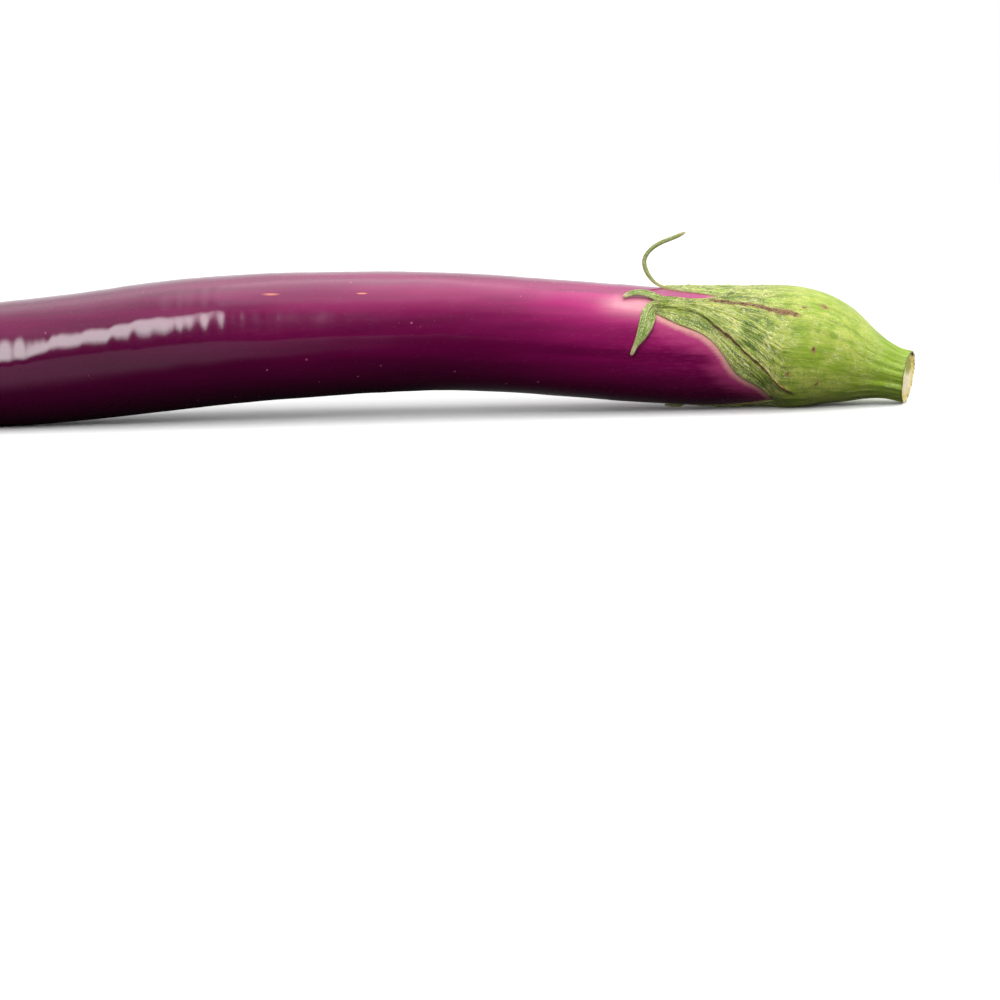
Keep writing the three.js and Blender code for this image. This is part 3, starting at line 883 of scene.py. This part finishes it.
def fruit_material():
    """Glossy purple skin, magenta towards the calyx and pink where the calyx kept the light out, with
    painted shade that darkens its lower side.
    """
    shader = Shader("eggplant_skin")
    place = shader.millimetres()
    along, near = shader.value("along"), shader.value("near")
    cloud = shader.noise(place, (0.03, 0.06, 0.06), 3.0)
    streak = shader.noise(place, (0.12, 0.7, 0.7), 3.0, 0.6)
    thread = shader.noise(place, (0.4, 2.0, 2.0), 2.0, 0.6)
    body = shader.mix(shader.step(along, -90.0, 10.0), BODY_DARK, BODY_LIGHT)
    bright = shader.step(shader.plus(along, shader.times(cloud, 30.0)), 35.0, 105.0)
    hidden = shader.step(shader.value("pale"), 0.0, 1.0, 0.45, 1.0)
    colour = shader.mix(shader.times(bright, hidden), body, BRIGHT)
    bands = shader.noise(place, (0.02, 0.25, 0.25), 2.0, 0.6)
    colour = shader.mix(shader.step(bands, 0.3, 0.7, 0.3, 0.0), colour, DEEP_PURPLE)
    # Painted shade: the colour goes to deep purple towards the bottom of the body.
    colour = shader.mix(shader.value("shade"), DEEP_PURPLE, colour)
    ragged = shader.plus(near, shader.times(shader.plus(streak, -0.5), 5.0))
    glow = shader.times(shader.step(ragged, 0.5, 9.0, 0.75, 0.0), shader.plus(shader.value("pale"), 0.25))
    colour = shader.mix(shader.math("MINIMUM", glow, 0.8), colour, ROSE)
    streaks = shader.times(shader.step(thread, 0.45, 0.75), shader.step(near, 2.0, 26.0, 0.08, 0.0))
    colour = shader.mix(streaks, colour, PINK)
    blush = shader.times(shader.value("blush"), shader.plus(shader.times(streak, 0.5), 0.45))
    colour = shader.mix(blush, colour, BLUSH_PINK)
    edge = shader.step(shader.plus(near, shader.times(thread, 1.6)), 1.2, 3.2, 0.95, 0.0)
    colour = shader.mix(shader.times(edge, shader.value("pale")), colour, PALE_PINK)
    dots = shader.node("ShaderNodeTexVoronoi", {"Vector": place, "Scale": 0.14}).outputs["Distance"]
    dots = shader.step(dots, 0.03, 0.06, 0.5, 0.0)
    colour = shader.mix(dots, colour, PINK)
    colour = shader.mix(shader.step(shader.value("scratch"), 0.25, 0.6), colour, SCRATCH_ORANGE)
    colour = shader.mix(shader.value("blossom"), colour, DRY_BROWN)
    waves = shader.noise(place, (0.4, 0.8, 0.8), 3.0, 0.6)
    height = shader.plus(shader.times(waves, 0.6), shader.times(thread, 0.12))
    rough = shader.plus(shader.times(shader.value("blossom"), 0.4), shader.step(waves, 0.3, 0.7, 0.2, 0.28))
    shader.set(Base_Color=colour, Roughness=rough, Normal=shader.bump(height, 0.25, 0.05))
    shader.set(Coat_Weight=1.0, Coat_Roughness=0.11, Specular_IOR_Level=0.1)
    return shader.material


def green_material(name):
    """Calyx and stem: a yellow-green dome, darker fibrous lobes with pale hairs, dry tips."""
    shader = Shader(name)
    lobe, stem, edge = shader.value("lobe"), shader.value("stem"), shader.value("edge")
    fibre = shader.place(shader.value("side_a"), shader.value("side_b"), shader.value("along"))
    place = shader.millimetres()
    cloud = shader.noise(place, (0.13, 0.13, 0.13), 3.0, 0.55)
    blotch = shader.noise(fibre, (0.5, 0.5, 0.3), 3.0, 0.65)
    streak = shader.noise(fibre, (0.9, 0.9, 0.11), 3.0, 0.6)
    thread = shader.noise(fibre, (1.7, 1.7, 0.2), 3.0, 0.65)
    grain = shader.noise(place, (1.3, 1.3, 1.3), 3.0, 0.7)
    fuzz = shader.noise(place, (2.8, 2.8, 2.8), 2.0, 0.7)
    patches = shader.plus(shader.times(cloud, 0.6), shader.times(blotch, 0.6))
    dome = shader.mix(shader.step(patches, 0.5, 0.72), DOME_GREEN, DOME_YELLOW)
    leaf = shader.mix(shader.step(patches, 0.5, 0.72), LEAF_GREEN, LEAF_YELLOW)
    leaf = shader.mix(shader.step(blotch, 0.54, 0.64, 0.0, 0.7), leaf, LEAF_FRESH)
    colour = shader.mix(lobe, dome, leaf)
    colour = shader.mix(stem, colour, STEM_GREEN)
    colour = shader.mix(shader.times(shader.value("tip"), 0.7), colour, TIP_GREEN)
    dark = shader.times(shader.step(streak, 0.36, 0.56, 0.8, 0.0), shader.on_lobes(lobe, 0.6, 0.3))
    colour = shader.mix(dark, colour, DEEP_GREEN)
    specks = shader.times(shader.step(grain, 0.34, 0.48, 0.6, 0.0), shader.on_lobes(lobe, 0.8, 0.2))
    colour = shader.mix(specks, colour, DEEP_GREEN)
    pale = shader.times(shader.step(thread, 0.52, 0.62), shader.on_lobes(lobe, 0.5, 0.35))
    colour = shader.mix(pale, colour, FIBRE_PALE)
    for turn in HAIR_TURNS:
        strokes = shader.noise(shader.turned(fibre, turn), (2.2, 2.2, 0.4), 2.0, 0.6)
        strokes = shader.times(shader.step(strokes, 0.58, 0.66), shader.step(cloud, 0.4, 0.55))
        strokes = shader.times(strokes, shader.on_lobes(lobe, 0.4, 0.25))
        colour = shader.mix(strokes, colour, HAIR_PALE)
    by_edge = shader.plus(shader.step(edge, 1.0, 5.0, 0.5, 0.0), 0.35)
    speckle = shader.times(shader.step(fuzz, 0.54, 0.64), shader.times(by_edge, lobe))
    colour = shader.mix(speckle, colour, HAIR_PALE)
    ragged = shader.plus(edge, shader.times(grain, -0.5))
    on_body = shader.step(shader.value("tip"), 0.0, 1.0, 1.0, 0.35)
    on_edge = shader.times(shader.times(lobe, on_body), shader.step(ragged, 0.0, 0.3, 0.7, 0.0))
    colour = shader.mix(on_edge, colour, EDGE_PALE)
    wild = shader.plus(shader.times(grain, 1.0), shader.times(fuzz, 1.0))
    torn = shader.step(shader.plus(shader.times(shader.value("tear"), 0.72), wild), 1.28, 1.42)
    brown = shader.mix(shader.step(fuzz, 0.4, 0.56), TEAR_DARK, TEAR_BROWN)
    colour = shader.mix(torn, colour, brown)
    marks = shader.step(shader.plus(shader.times(shader.value("mark"), 0.62), wild), 1.34, 1.45)
    colour = shader.mix(marks, colour, brown)
    dry = shader.times(shader.value("dry"), 0.85)
    colour = shader.mix(dry, colour, shader.mix(grain, TEAR_BROWN, HAIR_PALE))
    colour = shader.mix(shader.times(shader.value("rim"), 0.6), colour, RIM_DARK)
    height = shader.plus(shader.times(thread, 0.7), shader.times(grain, 0.5))
    height = shader.plus(height, shader.times(fuzz, 0.25))
    height = shader.plus(height, shader.times(torn, -0.4))
    strength = shader.on_lobes(lobe, 0.55, 0.35)
    normal = shader.node("ShaderNodeBump", {"Height": height, "Strength": strength,
                                            "Distance": 0.45 * MM}).outputs[0]
    shader.set(Base_Color=colour, Roughness=shader.step(grain, 0.3, 0.7, 0.42, 0.62), Normal=normal)
    shader.set(Sheen_Weight=0.06, Sheen_Roughness=0.5, Subsurface_Weight=0.12,
               Subsurface_Radius=(0.6, 1.0, 0.25), Subsurface_Scale=1.2 * MM)
    return shader.material


def cut_material():
    shader = Shader("eggplant_cut")
    place = shader.millimetres()
    grain = shader.noise(place, (1.6, 1.6, 1.6), 3.0, 0.65)
    reach, pit, burn = shader.value("reach"), shader.value("pit"), shader.value("burn")
    colour = shader.mix(shader.step(grain, 0.35, 0.65), CUT_CREAM, CUT_PALE)
    hollow = shader.step(shader.plus(pit, shader.times(grain, 0.4)), 0.45, 0.95)
    colour = shader.mix(hollow, colour, CUT_GREEN)
    ring = shader.step(shader.plus(reach, shader.times(grain, 0.2)), 0.76, 0.88)
    colour = shader.mix(shader.times(ring, 0.75), colour, CUT_YELLOW)
    rim = shader.step(shader.plus(reach, shader.times(grain, 0.12)), 0.99, 1.03)
    colour = shader.mix(rim, colour, RIM_DARK)
    black = shader.times(shader.step(burn, 0.3, 0.8), shader.step(reach, 0.8, 0.93))
    colour = shader.mix(black, colour, BURNT)
    shader.set(Base_Color=colour, Roughness=0.75, Normal=shader.bump(grain, 0.5, 0.25))
    shader.set(Subsurface_Weight=0.2, Subsurface_Radius=(1.0, 0.8, 0.4), Subsurface_Scale=1.0 * MM)
    return shader.material


def floor_material():
    """A white table to the camera that throws little light back on what lies on it; as the object sees it,
    its colour is painted shade and painted reflection.
    """
    shader = Shader("white_table")
    seen = shader.node("ShaderNodeLightPath", {}).outputs["Is Camera Ray"]
    place = shader.node("ShaderNodeTexCoord", {}).outputs["Object"]
    x, y = shader.node("ShaderNodeSeparateXYZ", {0: place}).outputs[:2]
    blossom_half = shader.step(x, -0.08, 0.02, 1.0, 0.0)
    ahead = shader.step(shader.plus(y, shader.times(x, 0.25)), -0.075, -0.05, 1.0, 0.0)
    behind = shader.step(y, -0.01, 0.01)
    # Painted shade and painted reflection, seen only by rays from the object: dark close by, grey ahead of
    # the blossom half, pale behind the stem half.
    painted_reflection = shader.mix(shader.times(ahead, blossom_half), FLOOR_DARK, FLOOR_GREY)
    stem_half = shader.step(x, 0.0, 0.06)
    painted_reflection = shader.mix(shader.times(behind, stem_half), painted_reflection, FLOOR_PALE)
    colour = shader.mix(seen, painted_reflection, FLOOR_WHITE)
    shader.set(Base_Color=colour, Roughness=0.9, Specular_IOR_Level=0.0)
    return shader.material


# ---- stage, light and camera ----

def add_floor():
    mesh = bpy.data.meshes.new("table_top")
    mesh.from_pydata([(-1.6, -1.3, 0), (1.6, -1.3, 0), (1.6, 1.3, 0), (-1.6, 1.3, 0)], [],
                     [(0, 1, 2, 3)])
    mesh.materials.append(floor_material())
    floor = bpy.data.objects.new("table_top", mesh)
    bpy.context.scene.collection.objects.link(floor)


def add_sun(name, azimuth, elevation, strength, spread):
    """Soft light on everything alike, without a highlight of its own."""
    data = bpy.data.lights.new(name, "SUN")
    data.energy = strength
    data.angle = math.radians(spread)
    light = bpy.data.objects.new(name, data)
    azimuth, elevation = math.radians(azimuth), math.radians(elevation)
    toward = Vector((math.sin(azimuth) * math.cos(elevation), -math.cos(azimuth) * math.cos(elevation),
                     math.sin(elevation)))
    light.rotation_euler = toward.to_track_quat("Z", "Y").to_euler()
    light.visible_glossy = False
    bpy.context.scene.collection.objects.link(light)


def add_reflected_light(name, place, aim, size, energy, shape):
    """A soft box that shows in the skin's shine but lights nothing."""
    data = bpy.data.lights.new(name, "AREA")
    data.shape = shape
    data.size, data.size_y = size
    data.energy = energy
    light = bpy.data.objects.new(name, data)
    light.location = place
    direction = Vector(aim) - Vector(place)
    light.rotation_euler = direction.to_track_quat("-Z", "Y").to_euler()
    light.visible_camera = False
    light.visible_diffuse = False
    bpy.context.scene.collection.objects.link(light)


def add_soft_edged_light(name, shape, place, aim, size, energy):
    """A soft box that fades at its edge: boxes inside each other, a little apart."""
    whole = sum(ring ** 2 for ring in SOFT_RINGS)
    for index, ring in enumerate(SOFT_RINGS):
        behind = Vector(place) - Vector(aim)
        spot = Vector(place) + behind.normalized() * index * SOFT_RING_GAP
        share = ring ** 2 / whole
        add_reflected_light(f"{name}_{index}", spot, aim, [side * ring for side in size],
                            energy * share, shape)


def set_world():
    """White where the camera looks past the table, and a pale studio round the object."""
    world = bpy.data.worlds.new("studio")
    world.use_nodes = True
    bpy.context.scene.world = world
    tree = world.node_tree
    tree.nodes.clear()
    geometry = tree.nodes.new("ShaderNodeTexCoord")
    split = tree.nodes.new("ShaderNodeSeparateXYZ")
    tree.links.new(geometry.outputs["Generated"], split.inputs[0])
    back = tree.nodes.new("ShaderNodeMapRange")
    back.inputs["From Min"].default_value = -0.15
    back.inputs["From Max"].default_value = 0.5
    back.inputs["To Min"].default_value = WORLD_FRONT
    back.inputs["To Max"].default_value = WORLD_BACK
    tree.links.new(split.outputs["Y"], back.inputs["Value"])
    shine = tree.nodes.new("ShaderNodeBackground")
    shine.inputs["Color"].default_value = (1, 1, 1, 1)
    tree.links.new(back.outputs[0], shine.inputs["Strength"])
    plain = tree.nodes.new("ShaderNodeBackground")
    plain.inputs["Color"].default_value = (1, 1, 1, 1)
    path = tree.nodes.new("ShaderNodeLightPath")
    mix = tree.nodes.new("ShaderNodeMixShader")
    tree.links.new(path.outputs["Is Camera Ray"], mix.inputs[0])
    tree.links.new(shine.outputs[0], mix.inputs[1])
    tree.links.new(plain.outputs[0], mix.inputs[2])
    output = tree.nodes.new("ShaderNodeOutputWorld")
    tree.links.new(mix.outputs[0], output.inputs[0])


def add_camera():
    azimuth, elevation, roll = (math.radians(v) for v in (VIEW_AZIMUTH, VIEW_ELEVATION, VIEW_ROLL))
    back = Vector((math.sin(azimuth) * math.cos(elevation), -math.cos(azimuth) * math.cos(elevation),
                   math.sin(elevation)))
    data = bpy.data.cameras.new("camera")
    data.lens = 85.0
    camera = bpy.data.objects.new("camera", data)
    turn = Matrix.Rotation(roll, 3, back)
    facing = turn @ back.to_track_quat("Z", "Y").to_matrix()
    place = (Vector(VIEW_TARGET) + back * VIEW_DISTANCE) * MM
    camera.matrix_world = Matrix.Translation(place) @ facing.to_4x4()
    bpy.context.scene.collection.objects.link(camera)
    bpy.context.scene.camera = camera


def main():
    border = free_border()
    fruit = make_fruit(border, fruit_material())
    calyx = make_calyx(border, green_material("calyx_green"))
    stem = make_stem(green_material("stem_green"), cut_material())
    for piece, node, slot in ((fruit, "fruit", "fruit_skin"), (calyx, "calyx", "calyx_green"),
                              (stem, "stem", "stem_green")):
        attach(piece, "root")
        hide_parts(node)
    add_floor()
    set_world()
    add_sun("top_light", *TOP_SUN)
    add_sun("front_light", *FRONT_SUN)
    add_sun("side_light", *SIDE_SUN)
    add_soft_edged_light("overhead", "RECTANGLE", OVERHEAD_PLACE, OVERHEAD_AIM, OVERHEAD_SIZE,
                         OVERHEAD_WATTS)
    add_soft_edged_light("glint", "ELLIPSE", GLINT_PLACE, GLINT_AIM, GLINT_SIZE, GLINT_WATTS)
    add_soft_edged_light("strip", "ELLIPSE", STRIP_PLACE, STRIP_AIM, STRIP_SIZE, STRIP_WATTS)
    add_camera()
    bpy.context.scene.view_settings.view_transform = "Standard"


main()
